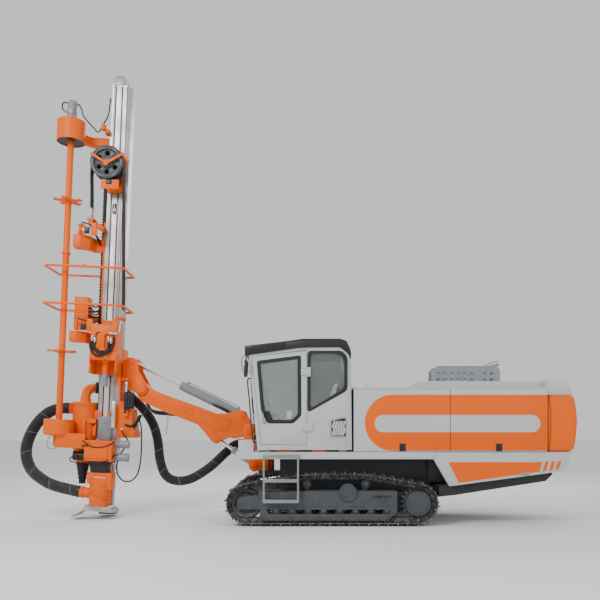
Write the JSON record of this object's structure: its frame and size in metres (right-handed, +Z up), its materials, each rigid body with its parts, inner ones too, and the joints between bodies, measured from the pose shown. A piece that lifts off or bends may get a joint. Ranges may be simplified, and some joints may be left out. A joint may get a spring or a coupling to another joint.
{
  "type": "crawler drilling rig",
  "caption": "Crawler rock drilling rig with a folding boom, leaning drill mast with rod carousel, operator cab, engine housing and steel tracks.",
  "frame": {"origin": "on the ground below the middle of the machine's bounding box", "axes": "+X towards the engine end, +Y towards the dust collector's side (the cab is at -Y), +Z up"},
  "size_m": [9.2309, 2.4603, 7.7329],
  "materials": {
    "aluminium": "anodised",
    "black": "matte",
    "chrome": "polished",
    "cover_grey": "satin moulded cover",
    "cover_orange": "gloss moulded cover",
    "cylinder_grey": "gloss paint",
    "frame_grey": "satin paint",
    "glass": "tinted",
    "orange": "gloss paint",
    "pale_rubber": "matte",
    "panel_grey": "satin paint",
    "rubber": "matte",
    "seat_cloth": "woven",
    "steel": "bare"
  },
  "bodies": {
    "machine": {"belly_skirts": "panel_grey", "cab_roof": "black", "cab_shell": "panel_grey", "chassis_frame": "frame_grey", "deck": "panel_grey", "dust_collector": "cover_grey", "engine_block": "frame_grey", "hood_frame": "black", "hood_roof": "panel_grey", "ladder": "steel", "left_sprocket": "frame_grey", "left_track": "frame_grey", "left_track_frame": "frame_grey", "rear_cap": "cover_orange", "rear_side_window": "glass", "right_sprocket": "frame_grey", "right_track": "frame_grey", "right_track_frame": "frame_grey", "right_window": "glass", "seat_cushion": "seat_cloth", "seat_frame": "black", "windscreen": "glass"},
    "cab_door": {"cab_door": "panel_grey", "door_window": "glass"},
    "hood_door_front_left": {"hood_door_front_left": "panel_grey"},
    "hood_door_front_right": {"hood_door_front_right": "panel_grey"},
    "hood_door_rear_left": {"hood_door_rear_left": "panel_grey"},
    "hood_door_rear_right": {"hood_door_rear_right": "panel_grey"},
    "boom_post": {"boom_post": "orange"},
    "boom": {"boom": "orange", "rear_suction_hose": "rubber"},
    "lift_barrel": {"lift_barrel": "cylinder_grey"},
    "lift_rod": {"lift_rod": "chrome"},
    "tilt_barrel": {"tilt_barrel": "cylinder_grey"},
    "tilt_rod": {"tilt_rod": "chrome"},
    "boom_bracket": {"boom_bracket": "orange"},
    "swing_barrel": {"swing_barrel": "cylinder_grey"},
    "swing_rod": {"swing_rod": "chrome"},
    "cradle": {"cradle": "orange"},
    "mast": {"mast_beam": "aluminium", "clamp_table": "orange", "dust_hood": "orange", "hood_skirt": "pale_rubber", "cyclone": "orange", "cyclone_sleeve": "rubber", "carousel_drum": "orange", "carousel_base": "orange", "rod_arms": "orange", "guard_hoops": "orange", "front_suction_hose": "rubber"},
    "carousel": {"carousel": "orange"},
    "wheel_carriage": {"wheel_carriage": "orange", "feed_hoses": "rubber"},
    "hose_wheel": {"hose_wheel": "frame_grey"},
    "rotary_head": {"rotary_head": "orange"},
    "spindle": {"spindle": "steel"}
  },
  "joints": [
    {"name": "cab_door", "type": "hinge", "parent": "machine", "child": "cab_door", "pos_m": [0.342, -1.165, 2], "axis": [0, 0, 1], "range_deg": [0, 85]},
    {"name": "hood_door_front_left", "type": "hinge", "parent": "machine", "child": "hood_door_front_left", "pos_m": [1.84, -1.103, 2.172], "axis": [-1, 0, 0], "range_deg": [0, 80]},
    {"name": "hood_door_front_right", "type": "hinge", "parent": "machine", "child": "hood_door_front_right", "pos_m": [1.84, 1.103, 2.172], "axis": [1, 0, 0], "range_deg": [0, 80]},
    {"name": "hood_door_rear_left", "type": "hinge", "parent": "machine", "child": "hood_door_rear_left", "pos_m": [3.37, -1.103, 2.172], "axis": [-1, 0, 0], "range_deg": [0, 80]},
    {"name": "hood_door_rear_right", "type": "hinge", "parent": "machine", "child": "hood_door_rear_right", "pos_m": [3.37, 1.103, 2.172], "axis": [1, 0, 0], "range_deg": [0, 80]},
    {"name": "boom_swing", "type": "hinge", "parent": "machine", "child": "boom_post", "pos_m": [-0.35, 0.27, 1], "axis": [0, 0, -1], "range_deg": [-30, 35]},
    {"name": "boom_lift", "type": "hinge", "parent": "boom_post", "child": "boom", "pos_m": [-0.65, 0.27, 1.512], "axis": [0, 1, 0], "range_deg": [-15, 30], "deforming": ["rear_suction_hose"]},
    {"name": "lift_barrel_pivot", "type": "hinge", "parent": "boom_post", "child": "lift_barrel", "pos_m": [-0.555, 0.27, 0.89], "axis": [0, 1, 0], "range_deg": [-7.4, 14.7]},
    {"name": "lift_rod_slide", "type": "slide", "parent": "lift_barrel", "child": "lift_rod", "axis": [-0.8238, 0, 0.5668], "range_m": [-0.115, 0.23]},
    {"name": "tilt_barrel_pivot", "type": "hinge", "parent": "boom", "child": "tilt_barrel", "pos_m": [-0.779, 0.27, 1.769], "axis": [0, 1, 0], "range_deg": [-2.2, 6.5]},
    {"name": "tilt_rod_slide", "type": "slide", "parent": "tilt_barrel", "child": "tilt_rod", "axis": [-0.8977, 0, 0.4407], "range_m": [-0.57, 0.19]},
    {"name": "mast_tilt", "type": "hinge", "parent": "boom", "child": "boom_bracket", "pos_m": [-2.54, 0.27, 2.238], "axis": [0, -1, 0], "range_deg": [-75, 25]},
    {"name": "mast_swing", "type": "hinge", "parent": "boom_bracket", "child": "cradle", "pos_m": [-2.85941, 0.27, 2.5161], "axis": [0.9991, 0, -0.0429], "range_deg": [-25, 25]},
    {"name": "swing_barrel_pivot", "type": "hinge", "parent": "cradle", "child": "swing_barrel", "pos_m": [-2.78865, -0.02, 1.83244], "axis": [0.9991, 0, -0.0429], "range_deg": [-6.2, 6.2]},
    {"name": "swing_rod_slide", "type": "slide", "parent": "swing_barrel", "child": "swing_rod", "axis": [0.0429, 0, 0.9991], "range_m": [-0.11, 0.11]},
    {"name": "mast_slide", "type": "slide", "parent": "cradle", "child": "mast", "axis": [0.0429, 0, 0.9991], "range_m": [-0.3, 0.9]},
    {"name": "carousel_spin", "type": "hinge", "parent": "mast", "child": "carousel", "pos_m": [-3.78549, -0.18, 4.02718], "axis": [0.0429, 0, 0.9991], "continuous": true},
    {"name": "wheel_feed", "type": "slide", "parent": "mast", "child": "wheel_carriage", "axis": [0.0429, 0, 0.9991], "range_m": [-0.55, 1.15], "deforming": ["feed_hoses"]},
    {"name": "hose_wheel_spin", "type": "hinge", "parent": "wheel_carriage", "child": "hose_wheel", "pos_m": [-3.07563, -0.07, 6.10867], "axis": [0, 1, 0], "continuous": true},
    {"name": "head_feed", "type": "slide", "parent": "wheel_carriage", "child": "rotary_head", "axis": [0.0429, 0, 0.9991], "range_m": [-0.55, 1.15]},
    {"name": "spindle_spin", "type": "hinge", "parent": "rotary_head", "child": "spindle", "pos_m": [-3.10048, -0.16, 2.49642], "axis": [0.0429, 0, 0.9991], "continuous": true}
  ],
  "couplings": [
    {"joint": "lift_barrel_pivot", "follows": "boom_lift", "ratio": 0.484},
    {"joint": "lift_rod_slide", "follows": "boom_lift", "m_per_rad": 0.43},
    {"joint": "tilt_barrel_pivot", "follows": "mast_tilt", "ratio": -0.085},
    {"joint": "tilt_rod_slide", "follows": "mast_tilt", "m_per_rad": 0.43},
    {"joint": "swing_barrel_pivot", "follows": "mast_swing", "ratio": 0.24},
    {"joint": "swing_rod_slide", "follows": "mast_swing", "m_per_rad": 0.25},
    {"joint": "head_feed", "follows": "wheel_feed", "ratio": 1}
  ]
}
